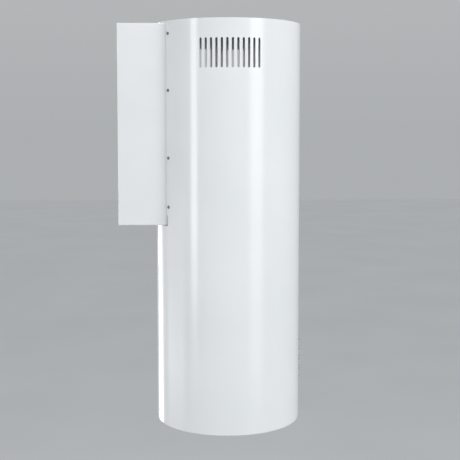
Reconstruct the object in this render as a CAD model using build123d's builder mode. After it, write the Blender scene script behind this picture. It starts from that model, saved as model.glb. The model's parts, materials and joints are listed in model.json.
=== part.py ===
from build123d import *

import os
from math import asin, cos, radians, sin

# A wall-mounted cylindrical cooker hood: a tall drum on a stand-off box, with its blower and filter.
# Sizes are in millimetres. +Z is up, the wall is the plane Y = 0, and the buttons face -Y.
# The origin is the middle of the four wall bolts, on the wall. A height h is measured from
# the drum's lower edge, and an offset u along +Y from the drum's axis.

# drum
diameter = 370.0
height = 1018.0
sheet = 1.0
axis_to_wall = 276.5

# vent slots, the same row on both flanks
slot_count = 12
slot_pitch = 13.16
slot_width = 5.8
slot_length = 71.5
slot_drop = 46.5

# stand-off box between the drum and the wall
box_width = 198.0
box_height = 499.5
box_drop = 5.0
box_sheet = 1.2
box_lip = 18.0
seam = 0.4
flange_reach = 16.0
flange_rise = 26.0
relief = 1.8
notch = 4.5
box_screw_past_seam = 10.0
box_screw_drops = (26.0, 165.0, 332.0, 454.0)
box_screw_radius = 1.75
box_head_radius = 3.5
box_head_height = 2.2
box_head_taper = 25
box_screw_length = 6.2

# wall bracket and the channel that carries the drum
bracket_width = 142.0
bracket_height = 440.0
bracket_sheet = 2.5
bracket_depth = 32.0
bolt_spacing_x = 100.0
bolt_spacing_z = 380.0
bolt_hole_radius = 4.25
cable_hole_radius = 30.0
carrier_height = 400.0
carrier_sheet = 2.5
carrier_bolt_radius = 3.0
carrier_bolt_rise = 150.0
carrier_bolt_depth = 19.2
carrier_nut_radius = 5.4
carrier_nut_height = 4.8
carrier_head_height = 3.9
carrier_to_wall = 4.5
carrier_window = (90.0, 130.0)
carrier_window_rise = 75.0
bar_height = 40.0
corner_round = 8.0

# inner frame
rail_leg = 16.0
rail_sheet = 1.5
rail_inset = 12.5
deck_sheet = 2.0
deck_below_box = 13.5
deck_rim = 12.0
top_plate_drop = 18.0
duct_hole_radius = 77.5

# outlet collar and its two non-return flaps
collar_radius = 75.0
collar_wall = 2.0
collar_height = 58.0
collar_flange = 20.0
collar_screw_radius = 2.0
collar_head_radius = 3.8
collar_head_height = 2.4
collar_screw_length = 8.0
flap_height = 28.0
flap_sheet = 1.2
flap_gap = 1.5
rod_radius = 1.5
rod_offset = 3.2
barrel_radius = 2.6
adaptor_height = 50.0

# blower
impeller_radius = 85.0
blade_depth = 15.0
blade_sheet = 1.2
blade_count = 36
blade_tilt = 20
ring_sheet = 3.0
impeller_length = 120.0
scroll_clearance = 15.0
scroll_step = 15.0
scroll_wall = 2.5
scroll_half_width = 70.0
outlet_start = 25.0
outlet_rise = 130.0
tongue_radius = 6.0
blower_offset = -50.0
inlet_radius = 62.0
motor_radius = 45.0
motor_wall = 2.0
motor_start = -80.0
motor_end = -16.0
winding_depth = 15.0
air_gap = 0.6
shaft_radius = 4.0
bearing_radius = 9.0
bearing_width = 6.0
bushing_radius = 8.0
spider_radius = 85.0
spider_sheet = 4.0
spider_ring = 5.0
spider_arm = 14.0
spider_screw_radius = 2.0
spider_head_radius = 4.5
spider_head_height = 3.0

# electrical parts on the deck and the carrier
can_radius = 17.0
can_length = 55.0
can_x = -112.0
can_u = 60.0
can_drop = 15.0
can_round = 2.0
tab_size = (0.8, 6.0)
tab_length = 9.0
tab_offset = 6.0
clip_sheet = 1.5
clip_width = 14.0
clip_drop = 8.0
clip_foot = 11.5
driver_place = (112.0, 30.0)
driver_size = (40.0, 96.0)
driver_depth = 24.0
driver_round = 3.0
driver_chamfer = 1.5
terminal_size = (100.0, 70.0)
terminal_depth = 38.0
terminal_rise = -125.0
terminal_wall = 2.0
terminal_round = 4.0
cover_sheet = 2.5
cover_round = 1.2
block_size = (60.0, 18.0)
block_depth = 14.0
block_pitch = (11.0, 8.0)
block_bore = 2.2
block_bore_depth = 8.0

# underside
pan_recess = 12.0
pan_sheet = 1.2
pan_rim = 6.0
pan_rise = 0.5
filter_width = 200.0
filter_length = 256.0
filter_depth = 10.0
filter_bar = 12.0
filter_front_bar = 32.0
filter_gap = 2.0
filter_round = 1.0
mesh_sheet = 1.0
mesh_edge = 3.0
lamp_radius = 24.0
lamp_wall = 1.5
bezel_reach = 3.0
bezel_lip = 3.5
lamp_sleeve = 14.0
lamp_can = 26.0
lamp_can_round = 3.0
lens_sheet = 2.5
module_rise = 24.0
module_sheet = 1.6
chip_size = 12.0
chip_height = 1.2
catch_width = 60.0
catch_travel = 6.0
catch_inset = 6.0
catch_wall = 4.0
grip_radius = 4.8
grip_half_width = 24.0
grip_share = 0.45
grip_rise = 1.0
bolt_width = 20.0
bolt_height = 3.0
bolt_length = 7.0
pin_radius = 1.5
pin_length = 16.0
hinge_inset = 2.5
ear_sheet = 2.0
ear_length = 9.0
ear_height = 6.0

# buttons
button_count = 5
button_pitch = 25.6
button_centre = 150.0
button_radius = 6.0
main_button_radius = 7.5
button_proud = 5.0
button_travel = 2.5
button_round = 1.2
button_collar = 1.5
button_collar_sheet = 2.0
stem_radius = 3.0
guide_half_width = 17.0
guide_depth = 14.0
guide_reach = 16.0
guide_recess = 6.0
guide_recess_radius = 2.0
post_radius = 3.0
post_bore = 1.2
post_inset = 4.0
board_gap = 8.0
board_sheet = 1.6
board_round = 2.0
board_hole = 1.4
switch_size = 6.2
switch_button_radius = 1.75
switch_button_height = 0.8
board_head_radius = 2.4
board_head_height = 1.8
board_screw_depth = 5.0

# clearances
clear = 0.3
running = 0.06

radius = diameter / 2
inside = radius - sheet
axis_y = -axis_to_wall
box_top = height - box_drop
box_bottom = box_top - box_height
mount_height = (box_top + box_bottom) / 2
deck_height = box_bottom - deck_below_box
deck_top = deck_height + deck_sheet
rail_corner = (radius - rail_inset) * cos(radians(45))
bar_back = rail_corner - rail_sheet
box_screw_spots = [(box_top - drop, 0) for drop in box_screw_drops]
carrier_bolt_spots = [(-carrier_bolt_depth, s * carrier_bolt_rise) for s in (-1, 1)]

os.makedirs("parts", exist_ok=True)


def level(h):
    """Horizontal plane at height h, centred on the drum's axis."""
    return Plane(origin=(0, axis_y, h - mount_height))


def flank(x):
    """Upright plane across X whose sketch coordinates are u and h."""
    return Plane(origin=(x, axis_y, -mount_height), x_dir=(0, 1, 0), z_dir=(1, 0, 0))


def front(u):
    """Upright plane at offset u that faces -Y, with sketch coordinates x and h."""
    return Plane(origin=(0, axis_y + u, -mount_height), x_dir=(1, 0, 0), z_dir=(0, -1, 0))


def wall(depth):
    """Plane that far in front of the wall, facing -Y, centred on the wall bolts."""
    return Plane(origin=(0, -depth, 0), x_dir=(1, 0, 0), z_dir=(0, -1, 0))


def keep(piece, name):
    """Label a finished piece and write it."""
    piece.part.label = name
    export_step(piece.part, f"parts/{name}.step")


# ---- drum ----

slot_middle = height - slot_drop - slot_length / 2
screw_angle = asin(box_width / 2 / radius) + box_screw_past_seam / radius
button_heights = [button_centre + (i - (button_count - 1) / 2) * button_pitch for i in range(button_count)]
button_radii = [main_button_radius if i == button_count // 2 else button_radius for i in range(button_count)]


def screw_plane(side, distance):
    """Plane tangent to the drum at the box screws on one side, x up and origin at height 0."""
    away = Vector(side * sin(screw_angle), cos(screw_angle), 0)
    origin = Vector(0, axis_y, -mount_height) + away * distance
    return Plane(origin=origin, x_dir=(0, 0, 1), z_dir=away)


with BuildPart() as jacket:
    with BuildSketch(level(0)):
        Circle(radius)
        Circle(inside, mode=Mode.SUBTRACT)
    extrude(amount=height)
    window_low = box_bottom - relief
    with BuildSketch(level(window_low)):
        with Locations((0, radius)):
            Rectangle(box_width + 2 * seam, radius)
    extrude(amount=box_top + seam - window_low, mode=Mode.SUBTRACT)
    with BuildSketch(level(window_low)):
        with Locations((0, radius)):
            Rectangle(box_width + 2 * notch, radius)
    extrude(amount=flange_rise, mode=Mode.SUBTRACT)
    for i in range(slot_count):
        turn = (i - (slot_count - 1) / 2) * slot_pitch / radius
        across = Plane(
            origin=(0, axis_y, slot_middle - mount_height),
            x_dir=(0, 0, 1),
            z_dir=(cos(turn), sin(turn), 0),
        )
        with BuildSketch(across):
            SlotOverall(slot_length, slot_width)
        extrude(amount=radius + sheet, both=True, mode=Mode.SUBTRACT)
    for h, r in zip(button_heights, button_radii):
        with BuildSketch(front(-inside + sheet)):
            with Locations((0, h)):
                Circle(r + seam)
        extrude(amount=4 * sheet, mode=Mode.SUBTRACT)
    for side in (-1, 1):
        with BuildSketch(screw_plane(side, inside - sheet)):
            with Locations(*box_screw_spots):
                Circle(box_screw_radius + clear)
        extrude(amount=4 * sheet, mode=Mode.SUBTRACT)
keep(jacket, "jacket")

top_plate_height = height - top_plate_drop
flange_radius = inside - clear
with BuildPart() as top_plate:
    plate_radius = flange_radius - box_sheet - clear
    with BuildSketch(level(top_plate_height)):
        Circle(plate_radius)
        Circle(duct_hole_radius, mode=Mode.SUBTRACT)
    extrude(amount=rail_sheet)
    with BuildSketch(level(top_plate_height)):
        Circle(plate_radius)
        Circle(plate_radius - rail_sheet, mode=Mode.SUBTRACT)
        Circle(duct_hole_radius + rail_sheet)
        Circle(duct_hole_radius, mode=Mode.SUBTRACT)
    extrude(amount=top_plate_drop / 2)
keep(top_plate, "top_plate")

# ---- stand-off box ----

with BuildPart() as box_casing:
    with BuildSketch(wall(0)):
        Rectangle(box_width, box_height)
    extrude(amount=axis_to_wall)
    with BuildSketch(wall(box_sheet)):
        Rectangle(box_width - 2 * box_sheet, box_height - 2 * box_sheet)
    extrude(amount=axis_to_wall, mode=Mode.SUBTRACT)
    with BuildSketch(wall(0)):
        Rectangle(box_width - 2 * box_lip, box_height - 2 * box_lip)
    extrude(amount=box_sheet, mode=Mode.SUBTRACT)
    with BuildSketch(level(box_bottom - relief)):
        Circle(flange_radius - box_sheet)
    extrude(amount=box_height + 2 * relief, mode=Mode.SUBTRACT)
    with BuildSketch(level(box_bottom + flange_rise)):
        flange_x = box_width / 2 - box_sheet + flange_reach / 2
        with Locations((-flange_x, radius), (flange_x, radius)):
            Rectangle(flange_reach, radius)
        Circle(flange_radius, mode=Mode.INTERSECT)
        Circle(flange_radius - box_sheet, mode=Mode.SUBTRACT)
    extrude(amount=box_height - flange_rise - box_sheet)
    for side in (-1, 1):
        with BuildSketch(screw_plane(side, flange_radius - 2 * box_sheet)):
            with Locations(*box_screw_spots):
                Circle(box_screw_radius + running)
        extrude(amount=3 * box_sheet, mode=Mode.SUBTRACT)
keep(box_casing, "box_casing")

with BuildPart() as box_screws:
    for side in (-1, 1):
        with BuildSketch(screw_plane(side, radius + running)):
            with Locations(*box_screw_spots):
                Circle(box_head_radius)
        extrude(amount=box_head_height, taper=box_head_taper)
        with BuildSketch(screw_plane(side, radius + running)):
            with Locations(*box_screw_spots):
                Circle(box_screw_radius)
        extrude(amount=-box_screw_length)
keep(box_screws, "box_screws")

with BuildPart() as wall_bracket:
    with BuildSketch(wall(0)):
        Rectangle(bracket_width, bracket_height)
        with GridLocations(bolt_spacing_x, bolt_spacing_z, 2, 2):
            Circle(bolt_hole_radius, mode=Mode.SUBTRACT)
        Circle(cable_hole_radius, mode=Mode.SUBTRACT)
    extrude(amount=bracket_sheet)
    with BuildSketch(wall(0)):
        with GridLocations(bracket_width - bracket_sheet, 1, 2, 1):
            Rectangle(bracket_sheet, bracket_height)
    extrude(amount=bracket_depth)
    with BuildSketch(Plane.YZ):
        with Locations(*carrier_bolt_spots):
            Circle(carrier_bolt_radius + clear)
    extrude(amount=bracket_width, both=True, mode=Mode.SUBTRACT)
keep(wall_bracket, "wall_bracket")

carrier_width = bracket_width + 2 * carrier_sheet
web_depth = axis_to_wall - bar_back - carrier_sheet
with BuildPart() as carrier:
    with BuildSketch(wall(web_depth)):
        Rectangle(carrier_width, carrier_height)
        with Locations((0, carrier_window_rise)):
            RectangleRounded(*carrier_window, corner_round, mode=Mode.SUBTRACT)
    extrude(amount=carrier_sheet)
    with BuildSketch(wall(web_depth)):
        with GridLocations(carrier_width - carrier_sheet, 1, 2, 1):
            Rectangle(carrier_sheet, carrier_height)
    extrude(amount=carrier_to_wall - web_depth)
    with BuildSketch(Plane.YZ):
        with Locations(*carrier_bolt_spots):
            Circle(carrier_bolt_radius + clear)
    extrude(amount=carrier_width, both=True, mode=Mode.SUBTRACT)
keep(carrier, "carrier")

with BuildPart() as carrier_bolts:
    for side in (-1, 1):
        nut_face = bracket_width / 2 - bracket_sheet - running
        with BuildSketch(Plane.YZ.offset(side * (carrier_width / 2 + running))):
            with Locations(*carrier_bolt_spots):
                RegularPolygon(carrier_nut_radius, 6)
        extrude(amount=side * carrier_head_height)
        with BuildSketch(Plane.YZ.offset(side * (carrier_width / 2 + running))):
            with Locations(*carrier_bolt_spots):
                Circle(carrier_bolt_radius)
        extrude(amount=-side * (carrier_width / 2 - nut_face + 1.5 * carrier_nut_height))
        with BuildSketch(Plane.YZ.offset(side * nut_face)):
            with Locations(*carrier_bolt_spots):
                RegularPolygon(carrier_nut_radius, 6)
        extrude(amount=-side * carrier_nut_height)
keep(carrier_bolts, "carrier_bolts")

with BuildPart() as cross_bars:
    with BuildSketch(front(bar_back)):
        with Locations(*[(0, mount_height + s * (carrier_height - bar_height) / 2) for s in (-1, 1)]):
            Rectangle(2 * (bar_back - clear), bar_height)
    extrude(amount=carrier_sheet)
keep(cross_bars, "cross_bars")

# ---- inner frame ----


def rails(low, high):
    """Four upright angle sections between two heights."""
    with BuildPart() as posts:
        with BuildSketch(level(low)):
            outer = 2 * rail_corner - rail_leg
            with GridLocations(outer, outer, 2, 2):
                Rectangle(rail_leg, rail_leg)
            inner = outer - 2 * rail_sheet
            with GridLocations(inner, inner, 2, 2):
                Rectangle(rail_leg, rail_leg, mode=Mode.SUBTRACT)
        extrude(amount=high - low)
    return posts


keep(rails(pan_recess, deck_height), "lower_rails")
keep(rails(deck_top, top_plate_height), "upper_rails")

collar_bore = collar_radius - collar_wall
collar_screw_ring = collar_radius + collar_flange / 2
with BuildPart() as blower_deck:
    deck_radius = inside - 2 * clear
    with BuildSketch(level(deck_height)):
        Circle(deck_radius)
    extrude(amount=deck_sheet)
    with BuildSketch(level(deck_height)):
        Circle(deck_radius)
        Circle(deck_radius - deck_sheet, mode=Mode.SUBTRACT)
    extrude(amount=-deck_rim)
    with BuildSketch(level(deck_height)):
        Circle(collar_bore)
        with PolarLocations(collar_screw_ring, 4, start_angle=45):
            Circle(collar_screw_radius)
    extrude(amount=deck_sheet, mode=Mode.SUBTRACT)
keep(blower_deck, "blower_deck")

# ---- outlet collar, rods and flaps ----

rod_height = deck_top + flap_height
seat_top = rod_height - flap_sheet / 2 - clear
with BuildPart() as outlet_collar:
    with BuildSketch(level(deck_top)):
        Circle(collar_radius + collar_flange)
        with PolarLocations(collar_screw_ring, 4, start_angle=45):
            Circle(collar_screw_radius, mode=Mode.SUBTRACT)
    extrude(amount=collar_wall)
    with BuildSketch(level(deck_top)):
        Circle(collar_radius)
    extrude(amount=collar_height)
    with BuildSketch(level(deck_top)):
        Circle(collar_bore)
    extrude(amount=collar_height, mode=Mode.SUBTRACT)
    with BuildSketch(level(seat_top)):
        Circle(collar_bore + collar_wall / 2)
        Circle(collar_bore - 2 * collar_wall, mode=Mode.SUBTRACT)
        Rectangle(2 * collar_radius, 2 * (rod_offset + barrel_radius + 2), mode=Mode.SUBTRACT)
    extrude(amount=-2 * collar_wall)
    with BuildSketch(flank(0)):
        with Locations((-rod_offset, rod_height), (rod_offset, rod_height)):
            Circle(rod_radius)
    extrude(amount=collar_radius, both=True, mode=Mode.SUBTRACT)
keep(outlet_collar, "outlet_collar")

with BuildPart() as flap_rods:
    with BuildSketch(flank(0)):
        with Locations((-rod_offset, rod_height), (rod_offset, rod_height)):
            Circle(rod_radius)
    extrude(amount=collar_radius - collar_wall / 2, both=True)
keep(flap_rods, "flap_rods")

for side, name in ((-1, "front_flap"), (1, "rear_flap")):
    with BuildPart() as flap:
        with BuildSketch(level(rod_height - flap_sheet / 2)):
            Circle(collar_bore - flap_gap)
            with Locations((0, side * (rod_offset - collar_radius))):
                Rectangle(2 * collar_radius, 2 * collar_radius, mode=Mode.SUBTRACT)
        extrude(amount=flap_sheet)
        half = collar_bore - 4 * flap_gap
        with BuildSketch(flank(-half)):
            with Locations((side * rod_offset, rod_height)):
                Circle(barrel_radius)
        extrude(amount=2 * half)
        with BuildSketch(flank(0)):
            with Locations((side * rod_offset, rod_height)):
                Circle(rod_radius + running)
        extrude(amount=collar_radius, both=True, mode=Mode.SUBTRACT)
    keep(flap, name)

with BuildPart() as collar_screws:
    with BuildSketch(level(deck_top + collar_wall)):
        with PolarLocations(collar_screw_ring, 4, start_angle=45):
            Circle(collar_head_radius)
    extrude(amount=collar_head_height)
    with BuildSketch(level(deck_top + collar_wall)):
        with PolarLocations(collar_screw_ring, 4, start_angle=45):
            Circle(collar_screw_radius)
    extrude(amount=-collar_screw_length)
keep(collar_screws, "collar_screws")

# ---- blower ----

blower_height = deck_height - adaptor_height - outlet_rise
scroll_start = impeller_radius + scroll_clearance
outlet_end = scroll_start + 2.5 * scroll_step
outlet_middle = blower_offset + (outlet_start + outlet_end) / 2


def blower(x):
    """Upright plane across X, centred on the impeller's axis."""
    origin = (x, axis_y + blower_offset, blower_height - mount_height)
    return Plane(origin=origin, x_dir=(0, 1, 0), z_dir=(1, 0, 0))


def scroll_outline(x, grow, top):
    """Three quarter arcs whose radius steps outwards, then the straight outlet and its tongue."""
    half_step = scroll_step / 2
    first = scroll_start + grow
    left, right = outlet_start - grow, outlet_end + grow
    low = first - half_step
    tip = tongue_radius - grow
    with BuildSketch(blower(x)) as outline:
        with BuildLine():
            CenterArc((-half_step, -half_step), first, 90, 90)
            CenterArc((half_step, -half_step), first + scroll_step, 180, 90)
            CenterArc((half_step, half_step), first + 2 * scroll_step, 270, 90)
            Polyline((right, half_step), (right, top), (left, top), (left, low + tip))
            CenterArc((left - tip, low + tip), tip, 0, -90)
            Line((left - tip, low), (-half_step, low))
        make_face()
    return outline.sketch


with BuildPart() as scroll_right:
    extrude(scroll_outline(0, scroll_wall, outlet_rise), scroll_half_width)
    extrude(
        scroll_outline(0, 0, outlet_rise + scroll_wall),
        scroll_half_width - scroll_wall,
        mode=Mode.SUBTRACT,
    )
    with BuildSketch(blower(scroll_half_width)):
        Circle(inlet_radius + scroll_wall)
    extrude(amount=scroll_wall)
    with BuildSketch(blower(scroll_half_width - scroll_wall)):
        Circle(inlet_radius)
    extrude(amount=2 * scroll_wall, mode=Mode.SUBTRACT)
keep(scroll_right, "scroll_right")

with BuildPart() as scroll_left:
    mirror(scroll_right.part, about=Plane.YZ)
    with BuildSketch(blower(-scroll_half_width)):
        with PolarLocations(spider_radius, 3, start_angle=90):
            Circle(spider_screw_radius)
    extrude(amount=scroll_wall, mode=Mode.SUBTRACT)
keep(scroll_left, "scroll_left")

with BuildPart() as outlet_adaptor:
    for inner in (0, scroll_wall):
        with BuildSketch(level(deck_height - adaptor_height)):
            with Locations((0, outlet_middle)):
                Rectangle(
                    2 * (scroll_half_width - inner),
                    outlet_end - outlet_start + 2 * (scroll_wall - inner),
                )
        with BuildSketch(level(deck_height)):
            Circle(collar_bore + scroll_wall - inner)
        loft(mode=Mode.SUBTRACT if inner else Mode.ADD)
keep(outlet_adaptor, "outlet_adaptor")

with BuildPart() as impeller:
    blade_middle = impeller_radius - blade_depth / 2
    with BuildSketch(blower(-impeller_length / 2)):
        with PolarLocations(blade_middle, blade_count):
            Rectangle(blade_depth - 1, blade_sheet, rotation=blade_tilt)
    extrude(amount=impeller_length)
    for x in (-impeller_length / 2, impeller_length / 2 - ring_sheet):
        with BuildSketch(blower(x)):
            Circle(impeller_radius)
            Circle(impeller_radius - blade_depth, mode=Mode.SUBTRACT)
        extrude(amount=ring_sheet)
    with BuildSketch(blower(-ring_sheet / 2)):
        Circle(impeller_radius)
    extrude(amount=ring_sheet)
    with BuildSketch(blower(0)):
        Circle(3 * shaft_radius)
    extrude(amount=-motor_end)
    with BuildSketch(blower(0)):
        Circle(shaft_radius)
    extrude(amount=impeller_radius, both=True, mode=Mode.SUBTRACT)
keep(impeller, "impeller")

with BuildPart() as motor_housing:
    with BuildSketch(blower(motor_end)):
        Circle(motor_radius)
        Circle(bearing_radius, mode=Mode.SUBTRACT)
    extrude(amount=motor_start - motor_end + motor_wall)
    with BuildSketch(blower(motor_end - motor_wall)):
        Circle(motor_radius - motor_wall)
        Circle(bearing_radius + motor_wall, mode=Mode.SUBTRACT)
    extrude(amount=motor_start - motor_end + 2 * motor_wall, mode=Mode.SUBTRACT)
    with BuildSketch(blower(motor_end - bearing_width)):
        Circle(motor_radius - motor_wall)
    extrude(amount=motor_start - motor_end, mode=Mode.SUBTRACT)
keep(motor_housing, "motor_housing")

with BuildPart() as motor_cap:
    with BuildSketch(blower(motor_start)):
        Circle(motor_radius)
        Circle(bearing_radius, mode=Mode.SUBTRACT)
    extrude(amount=motor_wall)
    with BuildSketch(blower(motor_start)):
        Circle(bearing_radius + motor_wall)
        Circle(bearing_radius, mode=Mode.SUBTRACT)
    extrude(amount=bearing_width)
keep(motor_cap, "motor_cap")

with BuildPart() as motor_bearings:
    for x in (motor_start, motor_end - bearing_width):
        with BuildSketch(blower(x)):
            Circle(bearing_radius)
            Circle(shaft_radius + running, mode=Mode.SUBTRACT)
        extrude(amount=bearing_width)
keep(motor_bearings, "motor_bearings")

with BuildPart() as motor_shaft:
    with BuildSketch(blower(motor_start - 4)):
        Circle(shaft_radius)
    extrude(amount=-motor_end - motor_start + 5)
keep(motor_shaft, "motor_shaft")

stator_start = motor_start + 2 * bearing_width
stator_length = motor_end - motor_start - 4 * bearing_width - motor_wall
bore_radius = motor_radius - motor_wall - winding_depth
with BuildPart() as stator:
    with BuildSketch(blower(stator_start)):
        Circle(motor_radius - motor_wall)
        Circle(bore_radius, mode=Mode.SUBTRACT)
    extrude(amount=stator_length)
keep(stator, "stator")

with BuildPart() as rotor:
    with BuildSketch(blower(stator_start + motor_wall)):
        Circle(bore_radius - air_gap)
        Circle(shaft_radius, mode=Mode.SUBTRACT)
    extrude(amount=stator_length - 2 * motor_wall)
keep(rotor, "rotor")

with BuildPart() as motor_spider:
    with BuildSketch(blower(motor_start)):
        Circle(motor_radius + spider_ring)
        with PolarLocations((spider_radius + motor_radius) / 2, 3, start_angle=90):
            Rectangle(spider_radius - motor_radius, spider_arm)
        with PolarLocations(spider_radius, 3, start_angle=90):
            Circle(bushing_radius)
            Circle(spider_screw_radius + clear, mode=Mode.SUBTRACT)
        Circle(motor_radius + running, mode=Mode.SUBTRACT)
    extrude(amount=spider_sheet)
keep(motor_spider, "motor_spider")

with BuildPart() as spider_bushes:
    with BuildSketch(blower(motor_start + spider_sheet)):
        with PolarLocations(spider_radius, 3, start_angle=90):
            Circle(bushing_radius)
            Circle(spider_screw_radius + clear, mode=Mode.SUBTRACT)
    extrude(amount=-motor_start - spider_sheet - scroll_half_width)
keep(spider_bushes, "spider_bushes")

with BuildPart() as spider_screws:
    with BuildSketch(blower(motor_start)):
        with PolarLocations(spider_radius, 3, start_angle=90):
            Circle(spider_head_radius)
    extrude(amount=-spider_head_height)
    with BuildSketch(blower(motor_start)):
        with PolarLocations(spider_radius, 3, start_angle=90):
            Circle(spider_screw_radius)
    extrude(amount=-motor_start - scroll_half_width + 2 * scroll_wall)
keep(spider_screws, "spider_screws")

# ---- electrical parts on the deck and the carrier ----

can_top = deck_height - can_drop
clip_top = can_top - clip_drop
with BuildPart() as capacitor:
    with BuildSketch(level(can_top)):
        with Locations((can_x, can_u)):
            Circle(can_radius)
    extrude(amount=-can_length)
    fillet(capacitor.edges().filter_by(GeomType.CIRCLE), can_round)
    with BuildSketch(level(can_top - can_length)):
        with Locations((can_x - tab_offset, can_u), (can_x + tab_offset, can_u)):
            Rectangle(*tab_size)
    extrude(amount=-tab_length)
keep(capacitor, "capacitor")

with BuildPart() as capacitor_clip:
    with BuildSketch(level(clip_top)):
        with Locations((can_x, can_u)):
            Circle(can_radius + clip_sheet)
            Circle(can_radius + running, mode=Mode.SUBTRACT)
    extrude(amount=-clip_width)
    with BuildSketch(level(deck_height)):
        with Locations((can_x - can_radius - clip_foot / 2, can_u)):
            Rectangle(clip_foot, clip_width)
    extrude(amount=-clip_sheet)
    with BuildSketch(level(clip_top)):
        with Locations((can_x - can_radius - clip_sheet / 2 - running, can_u)):
            Rectangle(clip_sheet, clip_width)
    extrude(amount=deck_height - clip_top)
keep(capacitor_clip, "capacitor_clip")

with BuildPart() as led_driver:
    with BuildSketch(level(deck_height)):
        with Locations(driver_place):
            RectangleRounded(*driver_size, driver_round)
    extrude(amount=-driver_depth)
    chamfer(led_driver.faces().sort_by(Axis.Z)[0].edges(), driver_chamfer)
keep(led_driver, "led_driver")

with BuildPart() as terminal_box:
    with BuildSketch(wall(web_depth)):
        with Locations((0, terminal_rise)):
            RectangleRounded(*terminal_size, terminal_round)
    extrude(amount=-terminal_depth)
    with BuildSketch(wall(web_depth - terminal_wall)):
        with Locations((0, terminal_rise)):
            inner_size = [side - 2 * terminal_wall for side in terminal_size]
            RectangleRounded(*inner_size, terminal_round - terminal_wall)
    extrude(amount=-terminal_depth, mode=Mode.SUBTRACT)
keep(terminal_box, "terminal_box")

with BuildPart() as terminal_cover:
    with BuildSketch(wall(web_depth - terminal_depth)):
        with Locations((0, terminal_rise)):
            RectangleRounded(*terminal_size, terminal_round)
    extrude(amount=-cover_sheet)
    fillet(terminal_cover.faces().sort_by(Axis.Y)[-1].edges(), cover_round)
keep(terminal_cover, "terminal_cover")

with BuildPart() as terminal_block:
    with BuildSketch(wall(web_depth - terminal_wall)):
        with Locations((0, terminal_rise)):
            Rectangle(*block_size)
    extrude(amount=-block_depth)
    with BuildSketch(wall(web_depth - terminal_wall - block_depth)):
        with Locations((0, terminal_rise)):
            with GridLocations(*block_pitch, 5, 2):
                Circle(block_bore)
    extrude(amount=block_bore_depth, mode=Mode.SUBTRACT)
keep(terminal_block, "terminal_block")

# ---- underside ----

pan_radius = inside - clear
well_radius = pan_radius - pan_rim
panel_low = pan_recess - pan_sheet
lamp_x = (filter_width / 2 + filter_gap + well_radius) / 2
hinge_u = filter_length / 2 - hinge_inset
hinge_height = panel_low + hinge_inset
ear_x = filter_width / 2 + filter_gap + ear_sheet
with BuildPart() as underpan:
    with BuildSketch(level(pan_rise)):
        Circle(pan_radius)
        Circle(well_radius - pan_sheet, mode=Mode.SUBTRACT)
    extrude(amount=pan_sheet)
    with BuildSketch(level(pan_rise)):
        Circle(well_radius)
        Circle(well_radius - pan_sheet, mode=Mode.SUBTRACT)
    extrude(amount=panel_low)
    with BuildSketch(level(panel_low)):
        Circle(well_radius)
        Rectangle(filter_width + 2 * filter_gap, filter_length + 2 * filter_gap, mode=Mode.SUBTRACT)
        with Locations((-lamp_x, 0), (lamp_x, 0)):
            Circle(lamp_radius + clear, mode=Mode.SUBTRACT)
    extrude(amount=pan_sheet)
    with BuildSketch(level(pan_recess)):
        with Locations((-ear_x, hinge_u), (ear_x, hinge_u)):
            Rectangle(ear_sheet, ear_length)
    extrude(amount=ear_height)
    with BuildSketch(flank(0)):
        with Locations((hinge_u, hinge_height)):
            Circle(pin_radius)
    extrude(amount=radius, both=True, mode=Mode.SUBTRACT)
keep(underpan, "underpan")

with BuildPart() as filter_pins:
    for side in (-1, 1):
        with BuildSketch(flank(side * (ear_x + ear_sheet / 2))):
            with Locations((hinge_u, hinge_height)):
                Circle(pin_radius)
        extrude(amount=-side * pin_length)
keep(filter_pins, "filter_pins")

mesh_length = filter_length - filter_bar - filter_front_bar
mesh_width = filter_width - 2 * filter_bar
mesh_u = (filter_front_bar - filter_bar) / 2
catch_front = -filter_length / 2 + catch_inset
catch_length = filter_front_bar - catch_inset - catch_wall - catch_travel
bolt_middle = panel_low + filter_depth / 2
with BuildPart() as filter_frame:
    with BuildSketch(level(panel_low)):
        Rectangle(filter_width, filter_length)
        with Locations((0, mesh_u)):
            Rectangle(mesh_width, mesh_length, mode=Mode.SUBTRACT)
    extrude(amount=filter_depth)
    fillet(filter_frame.faces().sort_by(Axis.Z)[0].outer_wire().edges(), filter_round)
    with BuildSketch(level(panel_low + 2 * mesh_sheet)):
        with Locations((0, mesh_u)):
            Rectangle(mesh_width + 2 * mesh_edge, mesh_length + 2 * mesh_edge)
    extrude(amount=filter_depth - 4 * mesh_sheet, mode=Mode.SUBTRACT)
    with BuildSketch(level(panel_low)):
        with Locations((0, catch_front + (catch_length + catch_travel + clear) / 2)):
            Rectangle(catch_width, catch_length + catch_travel + clear)
    extrude(amount=filter_depth - 2 * mesh_sheet, mode=Mode.SUBTRACT)
    with BuildSketch(front(catch_front)):
        with Locations((0, bolt_middle)):
            Rectangle(bolt_width + 2 * clear, bolt_height + 2 * clear)
    extrude(amount=filter_front_bar, mode=Mode.SUBTRACT)
    with BuildSketch(flank(0)):
        with Locations((hinge_u, hinge_height)):
            Circle(pin_radius + running)
    extrude(amount=radius, both=True, mode=Mode.SUBTRACT)
keep(filter_frame, "filter_frame")

with BuildPart() as filter_mesh:
    mesh_reach = 2 * (mesh_edge - clear)
    for h in (panel_low + 2 * mesh_sheet, panel_low + filter_depth - 3 * mesh_sheet):
        with BuildSketch(level(h)):
            with Locations((0, mesh_u)):
                Rectangle(mesh_width + mesh_reach, mesh_length + mesh_reach)
        extrude(amount=mesh_sheet)
keep(filter_mesh, "filter_mesh")

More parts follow.
